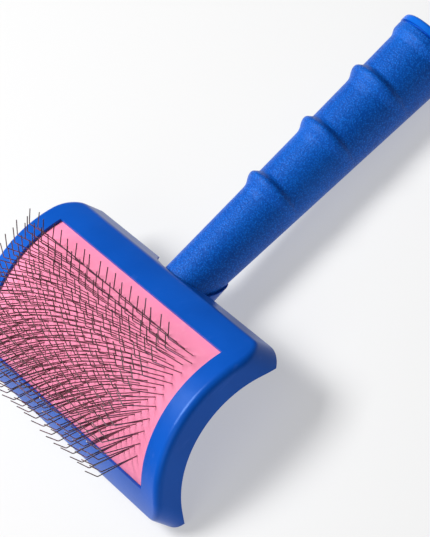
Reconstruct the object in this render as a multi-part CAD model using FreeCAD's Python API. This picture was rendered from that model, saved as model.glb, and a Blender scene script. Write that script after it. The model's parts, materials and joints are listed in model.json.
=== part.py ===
# Slicker brush: a curved cushion pad of bent wire pins on a round handle.
#
# Every piece is drawn in the head's own frame and turned once at the end.
# Head frame, in millimetres:
#   X runs along the head's length, across the handle
#   Y points from the head towards the handle
#   Z points out of the pad, the way the pins stand
#   the crown of the rim's front face is at Y = 0, Z = 0
# Finished frame: the brush lies on its back on Z = 0, pins up, handle along +Y.

import os
import math
import FreeCAD
import Part

V = FreeCAD.Vector

# ---------------------------------------------------------------- head sizes
head_length = 130.5          # X, end wall to end wall
head_depth = 72.9            # Y, far wall to handle-side wall
front_radius = 45.64         # curve of the rim's front face
back_radius = 38.65          # curve of the hollow back
crown_thickness = 10.66       # front face to back face at the crown
wall_drop = 8.97             # how far the side walls hang below the front face's edge
corner_radius = 8.9          # the head's four corners, seen from the front
crease_round = 2.8           # rounding between the front face and the walls
wall_thickness = 2.2
skin_thickness = 2.4         # the frame's front skin
snap_play = 0.15             # back shell inside the frame's walls

# ----------------------------------------------------------------- pad sizes
pad_length = 110.0           # X, opening in the rim
pad_arc = 60.2               # opening measured round the curve
pad_recess = 1.37            # pad surface below the rim's front face
facing_thickness = 1.0
cloth_thickness = 0.7
foam_thickness = 2.9
pad_flange = 2.5             # how far the pad runs on under the rim
lip_gap = 0.3                # pad facing below the underside of the rim's lip
end_play = 0.5               # pad to pocket at the two ends
side_play = 1.5              # pad to pocket round the curve, room for travel
foam_play = 0.05             # foam to the shell floor

# ----------------------------------------------------------------- pin sizes
wire_diameter = 0.4
wire_hole_play = 0.05        # wire to the hole through facing and cloth
pin_stem = 14.2              # pad surface to knee
pin_tip = 6.2                # knee to point
stem_lean = 17.5             # degrees, away from the handle
tip_lean = 32.0              # degrees, towards the handle
knee_radius = 1.0
foot_radius = 0.3
pin_columns = 38             # staggered columns along the head
pin_rows = 19                # staggered rows round the curve
pin_field_length = 97.8      # first column to last
pin_field_arc = 43.8         # first row to last, round the curve

# -------------------------------------------------------------- handle sizes
handle_droop = 21.45         # degrees the handle falls away from the pad side
handle_axis_depth = 16.77    # axis below the crown, at Y = 0
grip_radius = 9.87           # plain grip where it passes the handle-side wall
grip_growth = 4.13 / 140.0   # radius gained per millimetre of handle
grip_length = 121.7          # handle-side wall to the grip's outer end
nose_wall = 0.9              # rubber left over the core at the nose's tip
nose_inside = 9.2            # nose tip to the handle-side wall
nose_full = 3.5              # full grip radius from this far inside the wall
ridge_places = (42.8, 70.8, 97.3)    # finger ridges, from the handle-side wall
ridge_height = 2.5
ridge_offset = 1.8           # ridge rings sit off the axis towards the pins
flare_length = 6.6
flare_height = 1.3
core_radius = 6.5
core_inside = 34.2           # how far the core reaches in past the handle-side wall
core_bore_radius = 4.0
core_solid = 19.0            # solid end of the core, for the screw
fit_play = 0.05              # between parts that are pushed or glued together
cap_groove = 0.6             # dark seam between grip and cap
cap_thickness = 3.0
cap_round = 1.2
plug_length = 20.0
boss_radius = 11.6           # hump round the socket
boss_mouth_radius = 10.9     # the same hump where the grip comes out
boss_inside = 41.2           # handle-side wall to the centre of the boss's nose
mouth_back = 2.3             # middle of the slanted mouth, inside the wall
mouth_slant = 10.8           # half the mouth's length along the handle
mouth_half = 9.3             # half the mouth's height across the handle
notch_half_width = 17.5      # arch in the handle-side wall
notch_height = 11.2

# ------------------------------------------------------------ derived sizes
pad_radius = front_radius - pad_recess
cloth_radius = pad_radius - facing_thickness
under_radius = cloth_radius - cloth_thickness
wire_radius = wire_diameter / 2.0
crown_drop = foot_radius + 0.05
foam_radius = under_radius - crown_drop - wire_radius - 0.05
floor_radius = foam_radius - foam_thickness - foam_play
lip_radius = pad_radius + lip_gap
opening_angle = math.degrees(pad_arc / 2.0 / front_radius)
flange_angle = opening_angle + math.degrees(pad_flange / pad_radius)
pocket_angle = flange_angle + math.degrees(side_play / pad_radius)
flange_half = pad_length / 2.0 + pad_flange
pocket_half = flange_half + end_play
inner_length = head_length - 2.0 * wall_thickness
inner_depth = head_depth - 2.0 * wall_thickness
inner_corner = corner_radius - wall_thickness
column_pitch = pin_field_length / (pin_columns - 1)
row_pitch = pin_field_arc / (pin_rows - 1)
droop = math.radians(handle_droop)
crease_drop = front_radius - math.sqrt(front_radius ** 2 - (head_depth / 2.0) ** 2)
wall_bottom = crease_drop + wall_drop

# Stations are measured along the handle's axis, from where it crosses Y = 0.
wall_station = head_depth / 2.0 / math.cos(droop)
grip_start = wall_station - nose_inside
nose_end = wall_station - nose_full
grip_end = wall_station + grip_length
flare_start = grip_end - flare_length
ridge_stations = [wall_station + place for place in ridge_places]
core_start = wall_station - core_inside
core_end = grip_end - 3.5
core_bore_start = core_start + core_solid
cap_start = grip_end + cap_groove
cap_end = cap_start + cap_thickness
plug_start = grip_end - plug_length
boss_nose_station = wall_station - boss_inside
socket_end = grip_start - 4.5
nose_radius = core_radius + nose_wall
screw_station = core_start + 8.0
notch_centre = -handle_axis_depth - head_depth / 2.0 * math.tan(droop) + 0.4
centre = V(0, 0, -front_radius)
x_axis = V(1, 0, 0)


# ------------------------------------------------------------------- helpers
def grip_r(station):
    """Plain grip radius at a station along the handle."""
    return grip_radius + grip_growth * (station - wall_station)


def rounded_block(length, depth, radius, low, high):
    """Upright block with rounded corners, centred on X = Y = 0."""
    a = length / 2.0
    b = depth / 2.0
    k = radius
    d = radius * (1.0 - math.sqrt(0.5))
    edges = [
        Part.makeLine(V(-a + k, -b, low), V(a - k, -b, low)),
        Part.Arc(V(a - k, -b, low), V(a - d, -b + d, low), V(a, -b + k, low)).toShape(),
        Part.makeLine(V(a, -b + k, low), V(a, b - k, low)),
        Part.Arc(V(a, b - k, low), V(a - d, b - d, low), V(a - k, b, low)).toShape(),
        Part.makeLine(V(a - k, b, low), V(-a + k, b, low)),
        Part.Arc(V(-a + k, b, low), V(-a + d, b - d, low), V(-a, b - k, low)).toShape(),
        Part.makeLine(V(-a, b - k, low), V(-a, -b + k, low)),
        Part.Arc(V(-a, -b + k, low), V(-a + d, -b + d, low), V(-a + k, -b, low)).toShape(),
    ]
    face = Part.Face(Part.Wire(edges))
    return face.extrude(V(0, 0, high - low))


def long_cylinder(radius, z):
    """Cylinder along X whose axis is at the given Z."""
    return Part.makeCylinder(radius, 200.0, V(-100.0, 0, z), x_axis)


def arc_point(radius, degrees):
    """Point on the head's curve, measured from the crown towards the handle."""
    turn = math.radians(degrees)
    return V(0, radius * math.sin(turn), radius * math.cos(turn) - front_radius)


def sector(inner, outer, half_angle, half_length):
    """Curved slab between two radii, centred on the crown."""
    shift = V(-half_length, 0, 0)
    a = arc_point(inner, -half_angle) + shift
    b = arc_point(inner, 0) + shift
    c = arc_point(inner, half_angle) + shift
    d = arc_point(outer, half_angle) + shift
    e = arc_point(outer, 0) + shift
    f = arc_point(outer, -half_angle) + shift
    inner_arc = Part.Arc(a, b, c).toShape()
    outer_arc = Part.Arc(d, e, f).toShape()
    wire = Part.Wire([inner_arc, Part.makeLine(c, d), outer_arc, Part.makeLine(f, a)])
    return Part.Face(wire).extrude(V(2.0 * half_length, 0, 0))


def turned(edges, offset=0.0, seam=0.0):
    """Revolve a closed outline (Z = station, X = radius) and lay it on the handle.

    The surface's seam is on the pin side, or turned from there by seam degrees.
    """
    face = Part.Face(Part.Wire(edges))
    face.rotate(V(0, 0, 0), V(0, 0, 1), seam)
    solid = face.revolve(V(0, 0, 0), V(0, 0, 1), 360)
    solid.translate(V(offset, 0, 0))
    # local Z becomes the handle's axis, local X its pin side
    along = V(0, math.cos(droop), -math.sin(droop))
    up = V(0, math.sin(droop), math.cos(droop))
    side = along.cross(up)
    m = FreeCAD.Matrix()
    m.A11, m.A21, m.A31 = up.x, up.y, up.z
    m.A12, m.A22, m.A32 = side.x, side.y, side.z
    m.A13, m.A23, m.A33 = along.x, along.y, along.z
    m.A34 = -handle_axis_depth
    solid.Placement = FreeCAD.Placement(m).multiply(solid.Placement)
    return solid


def outline(points):
    """Closed outline of straight lines through (radius, station) pairs."""
    corners = [V(r, 0, s) for r, s in points]
    return [Part.makeLine(p, q) for p, q in zip(corners, corners[1:] + corners[:1])]


def handle_frame_point(station, radius):
    """Point below the handle's axis, on the side away from the pins."""
    y = station * math.cos(droop) - radius * math.sin(droop)
    z = -handle_axis_depth - station * math.sin(droop) - radius * math.cos(droop)
    return V(0, y, z)


# ---------------------------------------------------------------- head block
outer = rounded_block(head_length, head_depth, corner_radius, -wall_bottom, 5.0)
outer = outer.common(long_cylinder(front_radius, -front_radius))
front_edges = []
for edge in outer.Edges:
    box = edge.BoundBox
    middle = edge.valueAt((edge.FirstParameter + edge.LastParameter) / 2.0)
    on_front = abs(math.hypot(middle.y, middle.z + front_radius) - front_radius) < 0.01
    upright = box.XLength < 0.01 and box.YLength < 0.01
    if on_front and not upright:
        front_edges.append(edge)
outer = outer.makeFillet(crease_round, front_edges)
back_centre = -crown_thickness - back_radius
outer = outer.cut(long_cylinder(back_radius, back_centre))

# --------------------------------------------------------------- front frame
cavity = rounded_block(inner_length, inner_depth, inner_corner, -60.0, 5.0)
cavity = cavity.common(long_cylinder(front_radius - skin_thickness, -front_radius))
front_frame = outer.cut(cavity)
pocket = sector(floor_radius, lip_radius, pocket_angle, pocket_half)
front_frame = front_frame.cut(pocket)
opening = sector(lip_radius - 1.0, front_radius + 5.0, opening_angle, pad_length / 2.0)
front_frame = front_frame.cut(opening)
notch = Part.Ellipse(V(0, 0, 0), notch_half_width, notch_height).toShape()
notch = Part.Face(Part.Wire([notch])).extrude(V(0, 0, 8.0))
notch.rotate(V(0, 0, 0), x_axis, 90)
notch.translate(V(0, head_depth / 2.0 + 4.0, notch_centre))
front_frame = front_frame.cut(notch)
bead_depth = 0.5
bead_half = 5.0
side_bead_z = -crease_drop - wall_drop / 2.0
end_bead_z = -0.6 * crown_thickness
bead_height = 1.2
beads = []
recesses = []
side_face = inner_depth / 2.0
end_face = inner_length / 2.0
for sign in (-1, 1):
    for x in (-38.0, 38.0):
        size = V(2.0 * bead_half, bead_depth + 0.5, bead_height)
        low = sign * side_face - (bead_depth if sign > 0 else 0.5)
        corner = V(x - bead_half, low, side_bead_z - bead_height / 2.0)
        beads.append(Part.makeBox(size.x, size.y, size.z, corner))
        grow = V(0.3, 0.3, 0.3)
        recesses.append(Part.makeBox(size.x + 0.6, size.y + 0.6, size.z + 0.6, corner - grow))
    size = V(bead_depth + 0.5, 2.0 * bead_half, bead_height)
    low = sign * end_face - (bead_depth if sign > 0 else 0.5)
    corner = V(low, -bead_half, end_bead_z - bead_height / 2.0)
    beads.append(Part.makeBox(size.x, size.y, size.z, corner))
    grow = V(0.3, 0.3, 0.3)
    recesses.append(Part.makeBox(size.x + 0.6, size.y + 0.6, size.z + 0.6, corner - grow))
for bead in beads:
    front_frame = front_frame.fuse(bead)
front_frame = front_frame.removeSplitter()

# ---------------------------------------------------------------- back shell
shell_length = inner_length - 2.0 * snap_play
shell_depth = inner_depth - 2.0 * snap_play
shell_corner = inner_corner - snap_play
shell_top = front_radius - skin_thickness - 0.1
shell_inset = 0.3
shell_low = shell_inset - wall_bottom
back_shell = rounded_block(shell_length, shell_depth, shell_corner, shell_low, 5.0)
back_shell = back_shell.common(long_cylinder(shell_top, -front_radius))
back_shell = back_shell.cut(long_cylinder(back_radius + shell_inset, back_centre))
nose_start = boss_nose_station - boss_radius
nose_bend = boss_radius * math.sqrt(0.5)
boss_waist = wall_station - nose_full
boss_end = wall_station + 14.0
boss_shrink = (boss_radius - boss_mouth_radius) / (nose_full + 8.0)
boss_end_radius = boss_radius - boss_shrink * (boss_end - boss_waist)
boss = turned([
    Part.Arc(V(0, 0, nose_start), V(nose_bend, 0, boss_nose_station - nose_bend),
             V(boss_radius, 0, boss_nose_station)).toShape(),
    Part.makeLine(V(boss_radius, 0, boss_nose_station), V(boss_radius, 0, boss_waist)),
    Part.makeLine(V(boss_radius, 0, boss_waist), V(boss_end_radius, 0, boss_end)),
    Part.makeLine(V(boss_end_radius, 0, boss_end), V(0, 0, boss_end)),
    Part.makeLine(V(0, 0, boss_end), V(0, 0, nose_start)),
])
mouth_high = handle_frame_point(wall_station - mouth_back - mouth_slant, -mouth_half)
mouth_low = handle_frame_point(wall_station - mouth_back + mouth_slant, mouth_half)
mouth_run = (mouth_low - mouth_high).normalize()
mouth_side = V(0, -mouth_run.z, mouth_run.y)
mouth_start = V(-30.0, mouth_high.y, mouth_high.z) - mouth_run * 40.0
mouth_end = mouth_start + mouth_run * 110.0
mouth_face = Part.makePolygon([mouth_start, mouth_end, mouth_end + mouth_side * 60.0,
                               mouth_start + mouth_side * 60.0, mouth_start])
mouth_cut = Part.Face(mouth_face).extrude(V(60.0, 0, 0))
boss = boss.cut(mouth_cut)
boss = boss.common(long_cylinder(shell_top, -front_radius))
boss_block = rounded_block(shell_length, 200.0, shell_corner, -100.0, 5.0)
boss = boss.common(boss_block)
back_shell = back_shell.fuse(boss)
tray = sector(floor_radius, front_radius + 2.0, pocket_angle, pocket_half)
back_shell = back_shell.cut(tray)
rib_thickness = 1.5
groove_low = pocket_half + rib_thickness
groove_high = shell_length / 2.0 - rib_thickness
groove_slab = sector(floor_radius, front_radius + 2.0, pocket_angle - 4.0, groove_high)
groove_slab = groove_slab.cut(sector(1.0, front_radius + 3.0, pocket_angle, groove_low))
back_shell = back_shell.cut(groove_slab)
hood_play = 0.25
bore = turned(outline([
    (0, core_start - 0.2),
    (core_radius + fit_play, core_start - 0.2),
    (core_radius + fit_play, socket_end),
    (nose_radius + hood_play, socket_end + 0.5),
    (nose_radius + hood_play, grip_start),
    (grip_r(nose_end) + hood_play, nose_end),
    (grip_r(boss_end) + hood_play, boss_end + 6.0),
    (0, boss_end + 6.0),
]))
back_shell = back_shell.cut(bore)
for recess in recesses:
    back_shell = back_shell.cut(recess)

# ------------------------------------------------------------- neck screw
screw_head_radius = 2.4
screw_head_height = 1.6
screw_radius = 1.2
screw_seat = 8.6
down = V(0, -math.sin(droop), -math.cos(droop))
seat_point = handle_frame_point(screw_station, screw_seat)
screw_hole = Part.makeCylinder(screw_radius + fit_play, 6.0, seat_point - down * 5.0, down)
counterbore = Part.makeCylinder(screw_head_radius + 0.3, 12.0, seat_point, down)
back_shell = back_shell.cut(screw_hole)
back_shell = back_shell.cut(counterbore)
back_shell = back_shell.removeSplitter()
shank = Part.makeCylinder(screw_radius, screw_seat - 2.0, seat_point, down * -1.0)
head_start = seat_point + down * 0.02
screw_head = Part.makeCylinder(screw_head_radius, screw_head_height, head_start, down)
shank_top = Part.makeCylinder(screw_radius, 0.5, seat_point - down * 0.2, down)
slot_centre = head_start + down * (screw_head_height - 0.8)
slots = []
for length, width in ((3.0, 0.7), (0.7, 3.0)):
    slot = Part.makeBox(length, width, 2.0, V(-length / 2.0, -width / 2.0, 0))
    slot.rotate(V(0, 0, 0), x_axis, 180.0 - handle_droop)
    slot.translate(slot_centre)
    slots.append(slot)
neck_screw = screw_head.fuse(shank).fuse(shank_top)
for slot in slots:
    neck_screw = neck_screw.cut(slot)
neck_screw = neck_screw.removeSplitter()

# ------------------------------------------------------------------- handle
handle_core = turned(outline([
    (0, core_start), (core_radius, core_start), (core_radius, core_end),
    (core_bore_radius, core_end), (core_bore_radius, core_bore_start), (0, core_bore_start),
]))
pilot = Part.makeCylinder(screw_radius + fit_play, 8.0, seat_point - down * 7.2, down)
handle_core = handle_core.cut(pilot)

sleeve_bore = core_radius + fit_play
flare_shape = ((0.0, 0.0), (0.2, 0.22), (0.36, 0.6), (0.54, 0.9), (0.75, 1.0), (1.0, 1.0))
flare_points = []
for part, height in flare_shape:
    station = flare_start + part * flare_length
    flare_points.append(V(grip_r(station) + flare_height * height, 0, station))
flare = Part.BSplineCurve()
flare.interpolate(flare_points)
body = [
    Part.makeLine(V(0, 0, grip_start), V(nose_radius, 0, grip_start)),
    Part.makeLine(V(nose_radius, 0, grip_start), V(grip_r(nose_end), 0, nose_end)),
    Part.makeLine(V(grip_r(nose_end), 0, nose_end), flare_points[0]),
    flare.toShape(),
    Part.makeLine(flare_points[-1], V(0, 0, grip_end)),
    Part.makeLine(V(0, 0, grip_end), V(0, 0, grip_start)),
]
grip_sleeve = turned(body, 0.0, 180.0)
# ridge profile: (along the handle, share of the ridge's height)
ridge_foot = (-5.4, -0.3)
ridge_rise = (-1.3, 0.88)
ridge_crest = (0.1, 1.0)
ridge_fall = (1.4, 0.72)
ridge_tail = (2.6, 0.2)
ridge_end = (4.8, -0.45)
for station in ridge_stations:
    corners = []
    for along, height in (ridge_foot, ridge_rise, ridge_crest, ridge_fall, ridge_tail, ridge_end):
        radius = grip_r(station + along) - ridge_offset + ridge_height * height
        corners.append(V(radius, 0, station + along))
    foot_point, rise, crest, fall, tail, end_point = corners
    first = V(0, 0, foot_point.z)
    last = V(0, 0, end_point.z)
    ring = turned([
        Part.makeLine(foot_point, rise),
        Part.Arc(rise, crest, fall).toShape(),
        Part.makeLine(fall, tail),
        Part.makeLine(tail, end_point),
        Part.makeLine(end_point, last),
        Part.makeLine(last, first),
        Part.makeLine(first, foot_point),
    ], ridge_offset, 180.0)
    grip_sleeve = grip_sleeve.fuse(ring)
grip_sleeve = grip_sleeve.cut(turned(outline([
    (0, grip_start - 1.0), (sleeve_bore, grip_start - 1.0),
    (sleeve_bore, grip_end + 1.0), (0, grip_end + 1.0),
])))
grip_sleeve = grip_sleeve.removeSplitter()

cap_radius = grip_r(grip_end) + flare_height + 0.25
neck_r = cap_radius - 1.5
turn_in = cap_round * (1.0 - math.sqrt(0.5))
cap_arc = Part.Arc(V(cap_radius, 0, cap_end - cap_round),
                   V(cap_radius - turn_in, 0, cap_end - turn_in),
                   V(cap_radius - cap_round, 0, cap_end)).toShape()
plug_radius = core_bore_radius - fit_play
end_cap = turned([
    Part.makeLine(V(0, 0, plug_start), V(plug_radius, 0, plug_start)),
    Part.makeLine(V(plug_radius, 0, plug_start), V(plug_radius, 0, grip_end + 0.05)),
    Part.makeLine(V(plug_radius, 0, grip_end + 0.05), V(neck_r, 0, grip_end + 0.05)),
    Part.makeLine(V(neck_r, 0, grip_end + 0.05), V(neck_r, 0, cap_start)),
    Part.makeLine(V(neck_r, 0, cap_start), V(cap_radius, 0, cap_start)),
    Part.makeLine(V(cap_radius, 0, cap_start), V(cap_radius, 0, cap_end - cap_round)),
    cap_arc,
    Part.makeLine(V(cap_radius - cap_round, 0, cap_end), V(0, 0, cap_end)),
    Part.makeLine(V(0, 0, cap_end), V(0, 0, plug_start)),
])

# ---------------------------------------------------------------------- pins
# One staple is drawn at the crown: two legs, bent at the knee, joined by a
# short crown that lies flat under the cloth. Copies are turned into place.
lean = math.radians(stem_lean)
tip_turn = math.radians(tip_lean)
crown_depth = facing_thickness + cloth_thickness + crown_drop
stem_way = V(0, -math.sin(lean), math.cos(lean))
tip_way = V(0, math.sin(tip_turn), math.cos(tip_turn))
surface = V(0, 0, pad_radius - front_radius)
knee = surface + stem_way * pin_stem
point = knee + tip_way * pin_tip
foot = surface - stem_way * (crown_depth / math.cos(lean))


def rounded_path(corners, radii):
    """Wire through the corners, with each inner corner rounded by its radius."""
    edges = []
    start = corners[0]
    for i in range(1, len(corners) - 1):
        corner = corners[i]
        back = (corners[i - 1] - corner).normalize()
        ahead = (corners[i + 1] - corner).normalize()
        half = back.getAngle(ahead) / 2.0
        reach = radii[i - 1] / math.tan(half)
        a = corner + back * reach
        c = corner + ahead * reach
        inward = (back + ahead).normalize()
        b = corner + inward * (radii[i - 1] / math.sin(half) - radii[i - 1])
        edges.append(Part.makeLine(start, a))
        edges.append(Part.Arc(a, b, c).toShape())
        start = c
    edges.append(Part.makeLine(start, corners[-1]))
    return Part.Wire(edges)


def wire_solid(path, start, way):
    """Round wire swept along a path."""
    ring = Part.Wire([Part.makeCircle(wire_radius, start, way)])
    return path.makePipeShell([ring], True, False)


span = V(2.0 * column_pitch, 0, 0)
pair_path = rounded_path(
    [point, knee, foot, foot + span, knee + span, point + span],
    [knee_radius, foot_radius, foot_radius, knee_radius])
pair = wire_solid(pair_path, point, tip_way * -1.0)
single_path = rounded_path([point, knee, foot, foot - span * 0.5], [knee_radius, foot_radius])
single = wire_solid(single_path, point, tip_way * -1.0)
hole_radius = wire_radius + wire_hole_play
hole = Part.makeCylinder(hole_radius, 4.0, foot - stem_way * 0.6, stem_way)
first_x = -pin_field_length / 2.0
pin_row_solids = []
holes = []
for row in range(pin_rows):
    arc = -pin_field_arc / 2.0 + row * row_pitch
    turn = math.degrees(arc / pad_radius)
    start = row % 2
    xs = [first_x + (start + 2 * k) * column_pitch for k in range(pin_columns // 2)]
    solids = []
    for k in range(0, len(xs) - 1, 2):
        staple = pair.copy()
        staple.translate(V(xs[k], 0, 0))
        staple.rotate(centre, x_axis, -turn)
        solids.append(staple)
    if len(xs) % 2:
        last = single.copy()
        last.translate(V(xs[-1], 0, 0))
        last.rotate(centre, x_axis, -turn)
        solids.append(last)
    pin_row_solids.append(solids)
    for x in xs:
        drill = hole.copy()
        drill.translate(V(x, 0, 0))
        drill.rotate(centre, x_axis, -turn)
        holes.append(drill)

# ----------------------------------------------------------------- pad stack
drills = Part.makeCompound(holes)
pad_facing = sector(cloth_radius, pad_radius, flange_angle, flange_half).cut(drills)
cloth_face = cloth_radius - 0.01
pad_cloth = sector(under_radius, cloth_face, flange_angle, flange_half).cut(drills)
foam_floor = floor_radius + foam_play
foam_cushion = sector(foam_floor, foam_radius, flange_angle, flange_half)

# -------------------------------------------------------- lay it on its back
# The brush rests on the far wall's back edge and on the end cap's rim.
edge_y = -head_depth / 2.0
edge_z = -wall_bottom
rim = handle_frame_point(cap_end - cap_round, cap_radius - cap_round)
reach_y = rim.y - edge_y
reach_z = rim.z - edge_z
far = math.hypot(reach_y, reach_z)
tilt = math.asin(cap_round / far) + math.atan2(-reach_z, reach_y)

nodes = {
    "front_frame": front_frame,
    "back_shell": back_shell,
    "pad_facing": pad_facing,
    "pad_cloth": pad_cloth,
    "foam_cushion": foam_cushion,
    "handle_core": handle_core,
    "grip_sleeve": grip_sleeve,
    "end_cap": end_cap,
    "neck_screw": neck_screw,
}
for number, solids in enumerate(pin_row_solids, start=1):
    nodes["pin_row_%02d" % number] = Part.makeCompound(solids)

for shape in nodes.values():
    shape.rotate(V(0, 0, 0), x_axis, math.degrees(tilt))
low = V(1e9, 1e9, 1e9)
high = V(-1e9, -1e9, -1e9)
for shape in nodes.values():
    box = shape.optimalBoundingBox(False, False)
    low = V(min(low.x, box.XMin), min(low.y, box.YMin), min(low.z, box.ZMin))
    high = V(max(high.x, box.XMax), max(high.y, box.YMax), max(high.z, box.ZMax))
shift = V(-(low.x + high.x) / 2.0, -(low.y + high.y) / 2.0, -low.z)

os.makedirs("parts", exist_ok=True)
for name, shape in nodes.items():
    shape.translate(shift)
    shape.exportStep("parts/%s.step" % name)

print("tilt %.4f degrees" % math.degrees(tilt))
print("shift %.4f %.4f %.4f" % (shift.x, shift.y, shift.z))
print("size %.2f %.2f %.2f" % (high.x - low.x, high.y - low.y, high.z - low.z))
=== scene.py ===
# %% [markdown]
# A slicker brush, dressed for its portrait.
# The brush arrives as finished CAD bodies. This lesson gives every surface its material and
# remakes the pieces that live from small detail: the bent wire pins, the pink pad they stand
# in, and the pebbled grip. Lengths are in metres, in the same frame as the CAD.

# %% Load the frame
import json
import math
import bpy
import bmesh
from mathutils import Matrix, Vector


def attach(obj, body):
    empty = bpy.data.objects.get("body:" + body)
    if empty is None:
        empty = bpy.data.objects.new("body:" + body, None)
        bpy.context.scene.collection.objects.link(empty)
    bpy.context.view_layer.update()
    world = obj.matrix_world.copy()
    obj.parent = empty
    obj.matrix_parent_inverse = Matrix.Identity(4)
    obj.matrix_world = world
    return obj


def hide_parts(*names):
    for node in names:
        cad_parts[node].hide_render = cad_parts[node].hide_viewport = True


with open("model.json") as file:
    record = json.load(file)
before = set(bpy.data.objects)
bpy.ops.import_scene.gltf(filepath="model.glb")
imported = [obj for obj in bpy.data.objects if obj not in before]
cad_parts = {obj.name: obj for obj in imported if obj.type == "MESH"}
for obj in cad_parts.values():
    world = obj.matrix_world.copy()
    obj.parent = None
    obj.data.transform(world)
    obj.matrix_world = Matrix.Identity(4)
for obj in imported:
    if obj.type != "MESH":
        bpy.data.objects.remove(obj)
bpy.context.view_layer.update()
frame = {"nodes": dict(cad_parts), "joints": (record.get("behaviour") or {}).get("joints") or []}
nodes = frame["nodes"]
MM = 0.001

# %% [markdown]
# The brush lies on its back, so its head is tilted. It is easier to build in the head's own
# frame: X across, Y towards the handle, Z out of the pad, crown of the rim at zero. One matrix
# then lays each finished mesh in place. The pad's joint presses straight into the head, so
# the tilt is read from its axis; the shift is the one the CAD source prints.

# %% Place the head frame
HEAD_SHIFT = Vector((0.0, -68.9970, 37.5715)) * MM
press = Vector(frame["joints"][0]["axis"])
tilt = math.atan2(press.y, -press.z)
HEAD = Matrix.Translation(HEAD_SHIFT) @ Matrix.Rotation(tilt, 4, "X")
print("head tilted by %.3f degrees" % math.degrees(tilt))

# %% [markdown]
# The handle has a frame of its own too: Z along the handle, X towards the pin side. Stations
# along it start where its axis crosses the middle of the head.

# %% Place the handle frame
DROOP = math.radians(21.45)
AXIS_DEPTH = 16.77 * MM
HEAD_HALF_DEPTH = 36.45 * MM
along = Vector((0, math.cos(DROOP), -math.sin(DROOP)))
upward = Vector((0, math.sin(DROOP), math.cos(DROOP)))
sideways = along.cross(upward)
turn = Matrix((upward, sideways, along)).transposed().to_4x4()
HANDLE = HEAD @ Matrix.Translation((0, 0, -AXIS_DEPTH)) @ turn
WALL_STATION = HEAD_HALF_DEPTH / math.cos(DROOP)
print("handle slopes %.2f degrees to the floor" % math.degrees(DROOP - tilt))

# %% [markdown]
# The camera looks down on the head from its right end, through a long lens a metre away, and
# is rolled so that the handle climbs to the upper right corner. A long lens keeps the pins
# parallel, the way a product portrait does.

# %% Camera
LENS = 203.6
SENSOR = 36.0
CAMERA_FROM = HEAD @ (Vector((797.60, 188.25, 704.87)) * MM)
CAMERA_AT = HEAD @ (Vector((41.16, 51.15, 0.0)) * MM)
CAMERA_UP = HEAD.to_3x3() @ Vector((-0.4268, 0.8561, 0.2915))
camera_data = bpy.data.cameras.new("portrait_camera")
camera_data.lens = LENS
camera_data.sensor_width = SENSOR
camera_data.dof.use_dof = False
camera = bpy.data.objects.new("portrait_camera", camera_data)
bpy.context.scene.collection.objects.link(camera)
back = (CAMERA_FROM - CAMERA_AT).normalized()
right = CAMERA_UP.cross(back).normalized()
lift = back.cross(right)
aim = Matrix((right, lift, back)).transposed().to_4x4()
camera.matrix_world = Matrix.Translation(CAMERA_FROM) @ aim
bpy.context.scene.camera = camera
print("camera %.3f m from its target" % (CAMERA_FROM - CAMERA_AT).length)

# %% [markdown]
# Node trees read best as sums. One small class wraps a socket, so that a * 2 + b adds the
# Math nodes by itself, and one method adds any other node: its settings first, then the
# values or links of its sockets. Both work in shader trees and in geometry trees.

# %% Sockets that add up
class Value:
    """A number on its way through a node tree."""

    def __init__(self, graph, socket):
        self.graph = graph
        self.socket = socket

    def maths(self, operation, *terms):
        return self.graph.add("ShaderNodeMath", {"operation": operation}, dict(enumerate(terms)))

    def __add__(self, other):
        return self.maths("ADD", self, other)

    def __radd__(self, other):
        return self.maths("ADD", other, self)

    def __sub__(self, other):
        return self.maths("SUBTRACT", self, other)

    def __rsub__(self, other):
        return self.maths("SUBTRACT", other, self)

    def __mul__(self, other):
        return self.maths("MULTIPLY", self, other)

    def __rmul__(self, other):
        return self.maths("MULTIPLY", other, self)

    def __truediv__(self, other):
        return self.maths("DIVIDE", self, other)

    def __rtruediv__(self, other):
        return self.maths("DIVIDE", other, self)

    def __pow__(self, other):
        return self.maths("POWER", self, other)

    def call(self, operation, *others):
        return self.maths(operation, self, *others)


class Graph:
    """A node tree, and the one way of adding nodes to it."""

    def __init__(self, tree):
        self.tree = tree

    def node(self, kind, settings=None, sockets=None):
        made = self.tree.nodes.new(kind)
        for name, value in (settings or {}).items():
            setattr(made, name, value)
        for name, value in (sockets or {}).items():
            if isinstance(value, Value):
                self.tree.links.new(value.socket, made.inputs[name])
            else:
                made.inputs[name].default_value = value
        return made

    def add(self, kind, settings=None, sockets=None, out=0):
        return Value(self, self.node(kind, settings, sockets).outputs[out])

    def mix(self, factor, first, second):
        """Blend two colours."""
        settings = {"data_type": "RGBA", "clamp_factor": True}
        return self.add("ShaderNodeMix", settings, {0: factor, 6: first, 7: second}, out=2)

    def steps(self, factor, low, high):
        """A soft step from 0 at low to 1 at high."""
        sockets = {0: factor, 1: low, 2: high, 3: 0.0, 4: 1.0}
        return self.add("ShaderNodeMapRange", {"interpolation_type": "SMOOTHSTEP"}, sockets)


# %% [markdown]
# Every finish starts the same way: a Principled shader, and noise read on Object coordinates.
# Objects sit at the origin, so Object coordinates are true metres and a grain of 0.7 mm is a
# scale of 1 / 0.0007. A Bump node turns grain height into relief for the Normal socket.

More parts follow.
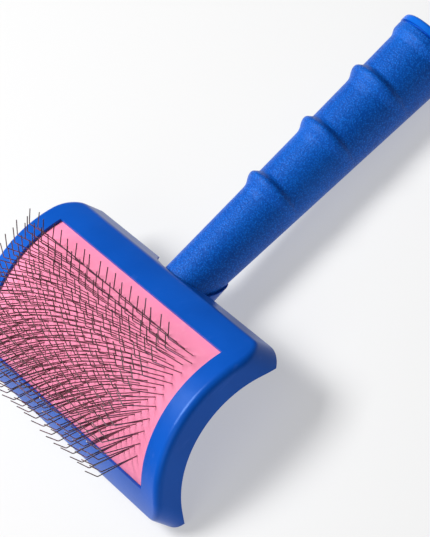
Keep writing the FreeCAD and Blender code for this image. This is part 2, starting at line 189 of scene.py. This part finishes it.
# %% The starting point of every finish
class Finish(Graph):
    """A material with its Principled shader ready."""

    def __init__(self, name, **constants):
        self.material = bpy.data.materials.new(name)
        self.material.use_nodes = True
        super().__init__(self.material.node_tree)
        self.tree.nodes.clear()
        self.shader = self.node("ShaderNodeBsdfPrincipled")
        output = self.node("ShaderNodeOutputMaterial")
        self.tree.links.new(self.shader.outputs[0], output.inputs[0])
        self.place = self.add("ShaderNodeTexCoord", out="Object")
        for name, value in constants.items():
            self.shader.inputs[name.replace("_", " ")].default_value = value

    def noise(self, size, detail=2.0, rough=0.5, place=None):
        """Soft noise with lumps of the given size in metres."""
        sockets = {"Vector": place or self.place, "Scale": 1.0 / size,
                   "Detail": detail, "Roughness": rough}
        return self.add("ShaderNodeTexNoise", None, sockets)

    def cells(self, size):
        """Rounded cells of the given size; 0 in the middle of a cell."""
        sockets = {"Vector": self.place, "Scale": 1.0 / size, "Smoothness": 0.6}
        return self.add("ShaderNodeTexVoronoi", {"feature": "SMOOTH_F1"}, sockets)

    def stretched(self, x, y, z):
        """The place, scaled axis by axis, for streaks."""
        sockets = {0: self.place, 1: (x, y, z)}
        return self.add("ShaderNodeVectorMath", {"operation": "MULTIPLY"}, sockets)

    def relief(self, height, depth, strength=1.0, under=None):
        sockets = {"Strength": strength, "Distance": depth, "Height": height}
        if under is not None:
            sockets["Normal"] = under
        return self.add("ShaderNodeBump", None, sockets)

    def feed(self, **sockets):
        for name, value in sockets.items():
            self.tree.links.new(value.socket, self.shader.inputs[name.replace("_", " ")])
        return self.material


# %% [markdown]
# The head is smooth moulded plastic: one deep royal blue, a soft sheen, the faint orange peel
# of the mould, and hair-fine scuffs where it has been put down. Broad noise moves the colour
# a little, because moulded colour is never quite even.

# %% Smooth blue plastic
def smooth_plastic(name, deep, bright, rough):
    finish = Finish(name, Specular_IOR_Level=0.3, Specular_Tint=(0.30, 0.55, 1.0, 1.0))
    broad = finish.noise(0.030, detail=3.0)
    peel = finish.noise(0.0022, detail=1.0)
    dust = finish.noise(0.00045, detail=2.0)
    scuffs = finish.noise(0.004, detail=4.0, rough=0.7, place=finish.stretched(1.0, 0.12, 1.0))
    scuffed = finish.steps(scuffs, 0.60, 0.72)
    colour = finish.mix(finish.steps(broad, 0.3, 0.7), deep, bright)
    colour = finish.mix(scuffed * 0.10, colour, (0.10, 0.22, 0.75, 1.0))
    under = finish.relief(peel, 0.00003, 0.6)
    normal = finish.relief(dust, 0.00002, 0.7, under)
    roughness = rough + broad * 0.06 + scuffed * 0.07 + dust * 0.03
    return finish.feed(Base_Color=colour, Roughness=roughness, Normal=normal)


head_blue = smooth_plastic("head_blue", (0.003, 0.078, 0.44, 1), (0.004, 0.092, 0.50, 1), 0.27)
cap_blue = smooth_plastic("cap_blue", (0.004, 0.135, 0.68, 1), (0.006, 0.155, 0.76, 1), 0.30)
core_blue = smooth_plastic("core_blue", (0.008, 0.030, 0.16, 1), (0.012, 0.040, 0.20, 1), 0.45)
print("smooth finishes:", head_blue.name, cap_blue.name, core_blue.name)

# %% [markdown]
# The grip is spark-eroded in the mould: a field of rounded pebbles well under a millimetre,
# which breaks each highlight into glitter. Cells give the pebbles and finer noise roughens
# their tops. The colour carries painted light and shade: the hollows between the pebbles are
# painted a deeper blue as painted shade, and the tops a lighter blue as painted light.

# %% Pebbled grip plastic
def pebbled_plastic(name, deep, bright):
    finish = Finish(name, Specular_IOR_Level=0.35, Specular_Tint=(0.25, 0.50, 1.0, 1.0))
    pebbles = 1.0 - finish.cells(0.00060)
    crumbs = finish.noise(0.00034, detail=2.0)
    broad = finish.noise(0.025, detail=2.0)
    height = pebbles * 0.7 + crumbs * 0.6
    # Painted light and shade: the pebble tops get the bright blue as painted light, the hollows the
    # deep blue as painted shade.
    lit_tops_shaded_hollows = finish.steps(height, 0.55, 1.05)
    colour = finish.mix(lit_tops_shaded_hollows, deep, bright)
    colour = finish.mix(finish.steps(broad, 0.45, 0.8) * 0.25, colour, bright)
    normal = finish.relief(height, 0.00020, 1.0)
    roughness = 0.42 - lit_tops_shaded_hollows * 0.10 + broad * 0.05
    return finish.feed(Base_Color=colour, Roughness=roughness, Normal=normal)


# For the grip, deep is the painted shade in the pebble hollows and bright is the painted light on
# the tops; bright also serves the broad random tone.
grip_blue = pebbled_plastic("grip_blue", (0.002, 0.070, 0.40, 1), (0.010, 0.190, 0.80, 1))
print("pebbled finish:", grip_blue.name)

# %% [markdown]
# The pad's facing is a matte pink rubber sheet. It has no shine to speak of, only the dry,
# slightly chalky look of calendered rubber, with a fine tooth and a few paler smudges.

# %% Pink rubber
def pink_rubber():
    finish = Finish("pad_pink", Specular_IOR_Level=0.3)
    tooth = finish.noise(0.00030, detail=3.0, rough=0.6)
    cloudy = finish.noise(0.012, detail=3.0)
    chalk = finish.steps(finish.noise(0.005, detail=5.0, rough=0.65), 0.52, 0.70)
    colour = finish.mix(cloudy, (0.90, 0.235, 0.40, 1.0), (0.96, 0.30, 0.47, 1.0))
    colour = finish.mix(chalk * 0.16, colour, (1.0, 0.45, 0.58, 1.0))
    normal = finish.relief(tooth, 0.00004, 0.6)
    roughness = 0.72 + tooth * 0.12
    return finish.feed(Base_Color=colour, Roughness=roughness, Normal=normal)


pad_pink = pink_rubber()

# %% [markdown]
# The pins are drawn steel wire. Drawing leaves it bright but faintly streaked; a little
# darkening breaks up the shine from pin to pin.

# %% Steel wire and zinc screw
def steel(name, dark, light, rough, streak):
    finish = Finish(name, Metallic=1.0)
    patchy = finish.noise(0.0035, detail=3.0)
    fine = finish.noise(streak, detail=2.0, place=finish.stretched(1.0, 1.0, 0.25))
    colour = finish.mix(finish.steps(patchy, 0.35, 0.7), dark, light)
    normal = finish.relief(fine, 0.000004, 0.6)
    roughness = rough + fine * 0.10 + patchy * 0.08
    return finish.feed(Base_Color=colour, Roughness=roughness, Normal=normal)


wire_steel = steel("wire_steel", (0.10, 0.08, 0.07, 1), (0.30, 0.27, 0.26, 1), 0.20, 0.0002)
screw_zinc = steel("screw_zinc", (0.50, 0.51, 0.53, 1), (0.72, 0.72, 0.74, 1), 0.25, 0.0004)

# %% [markdown]
# Two soft layers hide under the facing. The cloth is a plain weave, drawn with two crossed
# waves; the foam is a field of tiny cells.

# %% Cloth and foam
def woven_cloth():
    finish = Finish("backing_weave", Sheen_Weight=0.3)
    settings = {"wave_type": "BANDS", "bands_direction": "X"}
    warp = finish.add("ShaderNodeTexWave", settings, {"Vector": finish.place, "Scale": 250.0})
    settings = {"wave_type": "BANDS", "bands_direction": "Y"}
    weft = finish.add("ShaderNodeTexWave", settings, {"Vector": finish.place, "Scale": 250.0})
    weave = warp.call("MAXIMUM", weft)
    fuzz = finish.noise(0.0004, detail=3.0)
    colour = finish.mix(weave, (0.42, 0.38, 0.30, 1.0), (0.74, 0.70, 0.60, 1.0))
    normal = finish.relief(weave + fuzz * 0.4, 0.00015, 0.8)
    return finish.feed(Base_Color=colour, Normal=normal, Roughness=0.8 + fuzz * 0.15)


def cellular_foam():
    finish = Finish("cushion_foam", Specular_IOR_Level=0.25)
    bubbles = finish.cells(0.0009)
    tone = finish.noise(0.01)
    colour = finish.mix(bubbles, (0.88, 0.85, 0.76, 1.0), (0.66, 0.62, 0.52, 1.0))
    normal = finish.relief(bubbles, 0.0003, 0.8)
    return finish.feed(Base_Color=colour, Normal=normal, Roughness=0.85 + tone * 0.1)


backing_weave = woven_cloth()
foam_finish = cellular_foam()
print("soft finishes:", pad_pink.name, backing_weave.name, foam_finish.name)

# %% [markdown]
# Geometry Nodes build what repeats. These helpers make a tree with named inputs, set a
# modifier's inputs by the sockets' identifiers, and turn the evaluated result into a plain
# mesh laid in place by one of the two matrices.

# %% Helpers for geometry trees
KINDS = {float: "NodeSocketFloat", int: "NodeSocketInt"}


class Recipe(Graph):
    """A geometry tree with named number inputs."""

    def __init__(self, name, **numbers):
        super().__init__(bpy.data.node_groups.new(name, "GeometryNodeTree"))
        face = self.tree.interface
        for label, number in numbers.items():
            face.new_socket(label, in_out="INPUT", socket_type=KINDS[type(number)])
        face.new_socket("Geometry", in_out="OUTPUT", socket_type="NodeSocketGeometry")
        self.numbers = numbers
        self.door = self.node("NodeGroupInput")

    def __getitem__(self, label):
        return Value(self, self.door.outputs[label])

    def vector(self, x, y, z):
        return self.add("ShaderNodeCombineXYZ", None, {0: x, 1: y, 2: z})

    def close(self, geometry, material):
        """End the tree: real geometry, smooth faces, one material."""
        real = self.add("GeometryNodeRealizeInstances", None, {0: geometry})
        smooth = self.add("GeometryNodeSetShadeSmooth", None, {0: real})
        done = self.add("GeometryNodeSetMaterial", None, {0: smooth, "Material": material})
        self.node("NodeGroupOutput", None, {0: done})

    def grow(self, piece_name, matrix, thickness=0.0):
        """Run the tree once and keep the result as a plain mesh piece."""
        seed_mesh = bpy.data.meshes.new(piece_name + "_seed")
        seed = bpy.data.objects.new(piece_name + "_seed", seed_mesh)
        bpy.context.scene.collection.objects.link(seed)
        modifier = seed.modifiers.new("recipe", "NODES")
        modifier.node_group = self.tree
        for item in self.tree.interface.items_tree:
            if item.in_out == "INPUT":
                modifier[item.identifier] = self.numbers[item.name]
        if thickness:
            wall = seed.modifiers.new("wall", "SOLIDIFY")
            wall.thickness = thickness
            wall.offset = -1.0
        evaluated = seed.evaluated_get(bpy.context.evaluated_depsgraph_get())
        mesh = bpy.data.meshes.new_from_object(evaluated)
        bpy.data.objects.remove(seed)
        return add_piece(piece_name, mesh, matrix)


def add_piece(name, mesh, matrix):
    """A new piece at the origin, with its place in its mesh."""
    mesh.name = name
    mesh.transform(matrix)
    piece = bpy.data.objects.new(name, mesh)
    bpy.context.scene.collection.objects.link(piece)
    print(name, "has", len(mesh.polygons), "faces")
    return piece


# %% [markdown]
# The pins stand on a staggered grid that is wrapped round the pad's curve: every second column
# in one row, the columns between in the next. Lengths are along the curve.

# %% Sizes of the pad and its pins
FRONT_RADIUS = 45.64 * MM
PAD_RECESS = 1.37 * MM
PAD_RADIUS = FRONT_RADIUS - PAD_RECESS
PAD_LENGTH = 110.0 * MM
PAD_ARC = 60.2 * MM
FIELD_LENGTH = 97.8 * MM
FIELD_ARC = 43.8 * MM
PIN_COLUMNS = 38
PIN_ROWS = 19
COLUMN_PITCH = FIELD_LENGTH / (PIN_COLUMNS - 1)
ROW_PITCH = FIELD_ARC / (PIN_ROWS - 1)
PIN_ROOT = 2.0 * MM
PIN_STEM = 14.2 * MM
PIN_TIP = 6.2 * MM
STEM_LEAN = math.radians(17.5)
TIP_LEAN = math.radians(32.0)
KNEE_RADIUS = 1.0 * MM
WIRE_RADIUS = 0.2 * MM
WOBBLE = math.radians(3.0)
print("pins every %.2f by %.2f mm" % (COLUMN_PITCH / MM, ROW_PITCH / MM))

# %% [markdown]
# The tree works in the head's frame: one bent wire, then a point for each pin, its row and
# place counted from its index. The wire is copied to every point and turned to the local
# normal. A small random wobble, with a fixed seed, keeps hundreds of wires from looking printed.

# %% The pins' recipe
pin_recipe = Recipe(
    "bent_wire_pins", Rows=PIN_ROWS, PerRow=PIN_COLUMNS // 2, ColumnPitch=COLUMN_PITCH,
    RowPitch=ROW_PITCH, PadRadius=PAD_RADIUS, FrontRadius=FRONT_RADIUS, Root=PIN_ROOT,
    Stem=PIN_STEM, Tip=PIN_TIP, StemLean=STEM_LEAN, TipLean=TIP_LEAN,
    KneeRadius=KNEE_RADIUS, WireRadius=WIRE_RADIUS, Wobble=WOBBLE, Seed=7)
g = pin_recipe
index = g.add("GeometryNodeInputIndex")
lean_y = g["StemLean"].call("SINE") * -1.0
lean_z = g["StemLean"].call("COSINE")
knee_y = lean_y * g["Stem"]
knee_z = lean_z * g["Stem"]
tip_y = knee_y + g["TipLean"].call("SINE") * g["Tip"]
tip_z = knee_z + g["TipLean"].call("COSINE") * g["Tip"]
at_root = index.call("COMPARE", 0.0, 0.5)
at_knee = index.call("COMPARE", 1.0, 0.5)
at_tip = index.call("COMPARE", 2.0, 0.5)
wire_y = at_root * lean_y * g["Root"] * -1.0 + at_knee * knee_y + at_tip * tip_y
wire_z = at_root * lean_z * g["Root"] * -1.0 + at_knee * knee_z + at_tip * tip_z
line = g.add("GeometryNodeMeshLine", None, {"Count": 3})
line = g.add("GeometryNodeMeshToCurve", None, {0: line})
line = g.add("GeometryNodeSetPosition", None, {0: line, "Position": g.vector(0.0, wire_y, wire_z)})
fillet = {"Curve": line, "Count": 3, "Radius": g["KneeRadius"]}
line = g.add("GeometryNodeFilletCurve", {"mode": "POLY"}, fillet)
ring = g.add("GeometryNodeCurvePrimitiveCircle", None, {"Resolution": 6, "Radius": g["WireRadius"]})
wire = g.add("GeometryNodeCurveToMesh", None,
             {"Curve": line, "Profile Curve": ring, "Fill Caps": True})
row = (index / g["PerRow"] + 0.0001).call("FLOOR")
place_in_row = index - row * g["PerRow"]
shift_over = row.call("MODULO", 2.0)
x = (place_in_row * 2.0 + shift_over - g["PerRow"] + 0.5) * g["ColumnPitch"]
turned = (row - (g["Rows"] - 1.0) * 0.5) * g["RowPitch"] / g["PadRadius"]
y = turned.call("SINE") * g["PadRadius"]
z = turned.call("COSINE") * g["PadRadius"] - g["FrontRadius"]
points = g.add("GeometryNodePoints", None,
               {"Count": g["Rows"] * g["PerRow"], "Position": g.vector(x, y, z)})
wobble = g.add("FunctionNodeRandomValue", {"data_type": "FLOAT_VECTOR"}, {"Seed": g["Seed"]})
wobble = g.add("ShaderNodeVectorMath", {"operation": "SUBTRACT"}, {0: wobble, 1: (0.5, 0.5, 0.5)})
wobble = g.add("ShaderNodeVectorMath", {"operation": "SCALE"},
               {0: wobble, "Scale": g["Wobble"] * 2.0})
turn = g.add("ShaderNodeVectorMath", {"operation": "ADD"},
             {0: wobble, 1: g.vector(turned * -1.0, 0.0, 0.0)})
pins = g.add("GeometryNodeInstanceOnPoints", None,
             {"Points": points, "Instance": wire, "Rotation": turn})
pin_recipe.close(pins, wire_steel)

# %% [markdown]
# The finished wires ride on the pad's body and stand in for all nineteen rows of CAD pins.

# %% Grow the pins
pins = pin_recipe.grow("wire_pins", HEAD)
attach(pins, "pad")
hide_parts(*[name for name in nodes if name.startswith("pin_row")])

# %% [markdown]
# The facing is a sheet pulled over foam. It swells very slightly in the middle and dips where
# each wire comes through. That is a rule over a grid, so Geometry Nodes draw it: distance to
# the nearest pin of the staggered grid gives the dimple, and the whole sheet is then bent
# round the head's curve. A Solidify modifier gives the sheet its thickness.

# %% The pad's recipe
FLANGE = 2.5 * MM
SHEET_ARC = PAD_ARC * PAD_RADIUS / FRONT_RADIUS + 2 * FLANGE
SHEET_THICKNESS = 0.9 * MM
SWELL = 0.22 * MM
DIMPLE_DEPTH = 0.30 * MM
DIMPLE_WIDTH = 0.62 * MM
pad_recipe = Recipe(
    "dimpled_pad", Length=PAD_LENGTH + 2 * FLANGE, Arc=SHEET_ARC,
    Across=250, Around=144, FieldLength=FIELD_LENGTH, FieldArc=FIELD_ARC,
    ColumnPitch=COLUMN_PITCH, RowPitch=ROW_PITCH, PadRadius=PAD_RADIUS,
    FrontRadius=FRONT_RADIUS, Swell=SWELL, DimpleDepth=DIMPLE_DEPTH, DimpleWidth=DIMPLE_WIDTH)
g = pad_recipe
sheet = {"Size X": g["Length"], "Size Y": g["Arc"],
         "Vertices X": g["Across"], "Vertices Y": g["Around"]}
sheet = g.add("GeometryNodeMeshGrid", None, sheet)
position = g.add("GeometryNodeInputPosition")
parts = g.node("ShaderNodeSeparateXYZ", None, {0: position})
across = Value(g, parts.outputs[0])
around = Value(g, parts.outputs[1])
column = (across + g["FieldLength"] * 0.5) / g["ColumnPitch"]
row = (around + g["FieldArc"] * 0.5) / g["RowPitch"]


def to_nearest(offset, last_column, last_row):
    """Distance to the nearest pin of one half of the staggered grid."""
    c = ((column - offset) * 0.5).call("ROUND").call("MAXIMUM", 0.0)
    c = c.call("MINIMUM", last_column) * 2.0 + offset
    r = ((row - offset) * 0.5).call("ROUND").call("MAXIMUM", 0.0)
    r = r.call("MINIMUM", last_row) * 2.0 + offset
    gap_x = (column - c) * g["ColumnPitch"]
    gap_y = (row - r) * g["RowPitch"]
    return (gap_x * gap_x + gap_y * gap_y).call("SQRT")


even = to_nearest(0.0, PIN_COLUMNS // 2 - 1, (PIN_ROWS - 1) // 2)
odd = to_nearest(1.0, PIN_COLUMNS // 2 - 1, (PIN_ROWS - 3) // 2)
near = even.call("MINIMUM", odd) / g["DimpleWidth"]
dimple = (near * near * -1.0).call("EXPONENT") * g["DimpleDepth"]
u = across / (g["Length"] * 0.5)
v = around / (g["Arc"] * 0.5)
swell = (1.0 - u ** 2.0) * (1.0 - v ** 2.0) * g["Swell"]
height = g["PadRadius"] + swell - dimple
bend = around / g["PadRadius"]
bent = g.vector(across, bend.call("SINE") * height, bend.call("COSINE") * height - g["FrontRadius"])
sheet = g.add("GeometryNodeSetPosition", None, {0: sheet, "Position": bent})
pad_recipe.close(sheet, pad_pink)

# %% [markdown]
# The sheet rides on the pad's body too; foam fills it out.

# %% Grow the pad
pad = pad_recipe.grow("pad_skin", HEAD, thickness=SHEET_THICKNESS)
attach(pad, "pad")
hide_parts("pad_facing")

# %% [markdown]
# The grip's shape follows a rule as well: a gently growing radius, a tapered nose that dives
# into the neck, three finger ridges that rise on the pin side only, and a flare at the end.
# Ridges are rings set a little off the axis. Where two shapes meet, a smooth maximum rounds
# the corner, as a mould maker would.

# %% The grip's rule
GRIP_AT_WALL = 9.87 * MM
GRIP_GROWTH = 4.13 / 140.0
NOSE_TIP = 7.4 * MM
GRIP_START = WALL_STATION - 9.2 * MM
NOSE_END = WALL_STATION - 3.5 * MM
GRIP_END = WALL_STATION + 121.7 * MM
RIDGES = [WALL_STATION + place * MM for place in (42.8, 70.8, 97.3)]
RIDGE_HEIGHT = 2.5 * MM
RIDGE_OFFSET = 1.8 * MM
FLARE_START = GRIP_END - 6.6 * MM
FLARE_HEIGHT = 1.3 * MM
FLARE_RAMP = 3.6 * MM
RIDGE_FOOT = 6.4 * MM
RIDGE_HEEL = 3.3 * MM
RIDGE_TOP = 0.2 * MM
NOSE_BLEND = 0.5 * MM
RIDGE_BLEND = 0.7 * MM
BORE = 6.55 * MM
END_ROUND = 0.5 * MM


def soft_step(low, high, value):
    t = min(1.0, max(0.0, (value - low) / (high - low)))
    return t * t * (3.0 - 2.0 * t)


def soft_max(a, b, k):
    h = max(0.0, k - abs(a - b)) / k
    return max(a, b) + h * h * k * 0.25


def plain_radius(station):
    straight = GRIP_AT_WALL + GRIP_GROWTH * (station - WALL_STATION)
    if station < NOSE_END + 3 * MM:
        slope = (GRIP_AT_WALL - NOSE_TIP + 0.2 * MM) / (NOSE_END - GRIP_START)
        nose = NOSE_TIP + slope * (station - GRIP_START)
        straight = -soft_max(-straight, -nose, NOSE_BLEND)
    straight += FLARE_HEIGHT * soft_step(FLARE_START, FLARE_START + FLARE_RAMP, station)
    if station > GRIP_END - END_ROUND:
        dip = (station - GRIP_END + END_ROUND) / END_ROUND
        straight -= END_ROUND * (1.0 - math.sqrt(max(0.0, 1.0 - dip * dip)))
    return straight


def ridge_height(distance):
    """Height of a ridge along the handle; the far side is the steeper one."""
    if distance < 0.0:
        return RIDGE_HEIGHT * soft_step(-RIDGE_FOOT, -RIDGE_TOP, distance)
    return RIDGE_HEIGHT * (1.0 - soft_step(RIDGE_TOP, RIDGE_HEEL, distance))


def grip_surface(station, angle):
    radius = plain_radius(station)
    for ridge in RIDGES:
        rise = ridge_height(station - ridge)
        if rise > 0.0:
            own = radius - RIDGE_OFFSET + rise
            side = RIDGE_OFFSET * math.sin(angle)
            ring = RIDGE_OFFSET * math.cos(angle) + math.sqrt(own * own - side * side)
            radius = soft_max(radius, ring, RIDGE_BLEND)
    return radius


# %% [markdown]
# The rule is sampled ring by ring into a plain mesh. Two more rings close it into a tube with
# the core's bore, and the last stations sit closer together, where the end is rounded.

# %% Build the grip
AROUND = 120
STEP = 0.45 * MM
stations = [GRIP_START + i * STEP for i in range(int((GRIP_END - GRIP_START) / STEP))]
stations = [s for s in stations if s < GRIP_END - END_ROUND]
stations += [GRIP_END - END_ROUND * (1.0 - t) for t in (0.0, 0.35, 0.65, 0.85, 0.96, 1.0)]
shape = bmesh.new()
rings = []
for station in stations:
    loop = []
    for i in range(AROUND):
        angle = 2.0 * math.pi * i / AROUND
        radius = grip_surface(station, angle)
        point = (radius * math.cos(angle), radius * math.sin(angle), station)
        loop.append(shape.verts.new(point))
    rings.append(loop)
for station in (GRIP_END, GRIP_START):
    loop = []
    for i in range(AROUND):
        angle = 2.0 * math.pi * i / AROUND
        loop.append(shape.verts.new((BORE * math.cos(angle), BORE * math.sin(angle), station)))
    rings.append(loop)
for first, second in zip(rings, rings[1:] + rings[:1]):
    for i in range(AROUND):
        j = (i + 1) % AROUND
        shape.faces.new((first[i], first[j], second[j], second[i]))
bmesh.ops.recalc_face_normals(shape, faces=shape.faces)
for face in shape.faces:
    face.smooth = True
grip_mesh = bpy.data.meshes.new("pebbled_grip")
shape.to_mesh(grip_mesh)
shape.free()
grip_mesh.materials.append(grip_blue)
grip = add_piece("pebbled_grip", grip_mesh, HANDLE)
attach(grip, "brush")
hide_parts("grip_sleeve")

# %% [markdown]
# The other CAD bodies already have the right shape, so they stay and only change their
# finish. Assigning to the object's material slots is all it takes.

# %% Finish the CAD bodies
CARRIED = {
    "front_frame": head_blue, "back_shell": head_blue, "end_cap": cap_blue,
    "handle_core": core_blue, "neck_screw": screw_zinc, "pad_cloth": backing_weave,
    "foam_cushion": foam_finish,
}
for name, material in CARRIED.items():
    for slot in nodes[name].material_slots:
        slot.material = material
    print(name, "wears", material.name)

# %% [markdown]
# The stage is a pale, softly glowing table, as in a light tent: the shadows under the brush
# stay faint, and the underside gets a thin rim of light. One large soft box hangs overhead,
# a little behind the head's left end, and a weaker one fills from the camera's side.

# %% Floor
floor_mesh = bpy.data.meshes.new("floor")
floor_mesh.from_pydata([(-4, -4, 0), (4, -4, 0), (4, 4, 0), (-4, 4, 0)], [], [(0, 1, 2, 3)])
floor = bpy.data.objects.new("floor", floor_mesh)
bpy.context.scene.collection.objects.link(floor)
paper = Finish("paper_white", Roughness=0.9, Emission_Strength=0.45)
paper.shader.inputs["Base Color"].default_value = (0.36, 0.36, 0.36, 1.0)
paper.shader.inputs["Emission Color"].default_value = (1.0, 1.0, 1.0, 1.0)
floor_mesh.materials.append(paper.material)

# %% [markdown]
# Area lights stand for the soft boxes. Each looks at the brush from its own direction.

# %% Lights
def soft_box(name, direction, distance, size, power):
    """An area light that looks at the brush from a direction."""
    data = bpy.data.lights.new(name, "AREA")
    data.shape = "SQUARE"
    data.size = size
    data.energy = power
    lamp = bpy.data.objects.new(name, data)
    bpy.context.scene.collection.objects.link(lamp)
    way = Vector(direction).normalized()
    lamp.location = way * distance
    lamp.rotation_euler = way.to_track_quat("Z", "Y").to_euler()
    return lamp


soft_box("overhead_box", (-0.36, -0.25, 0.88), distance=1.2, size=0.55, power=20.0)
soft_box("fill_box", (0.6, -0.9, 0.9), distance=1.5, size=0.9, power=4.0)
WORLD_GLOW = 0.05
world = bpy.data.worlds.new("tent")
world.use_nodes = True
sky = world.node_tree.nodes["Background"]
sky.inputs["Color"].default_value = (1.0, 1.0, 1.0, 1.0)
sky.inputs["Strength"].default_value = WORLD_GLOW
bpy.context.scene.world = world
bpy.context.scene.view_settings.view_transform = "Standard"
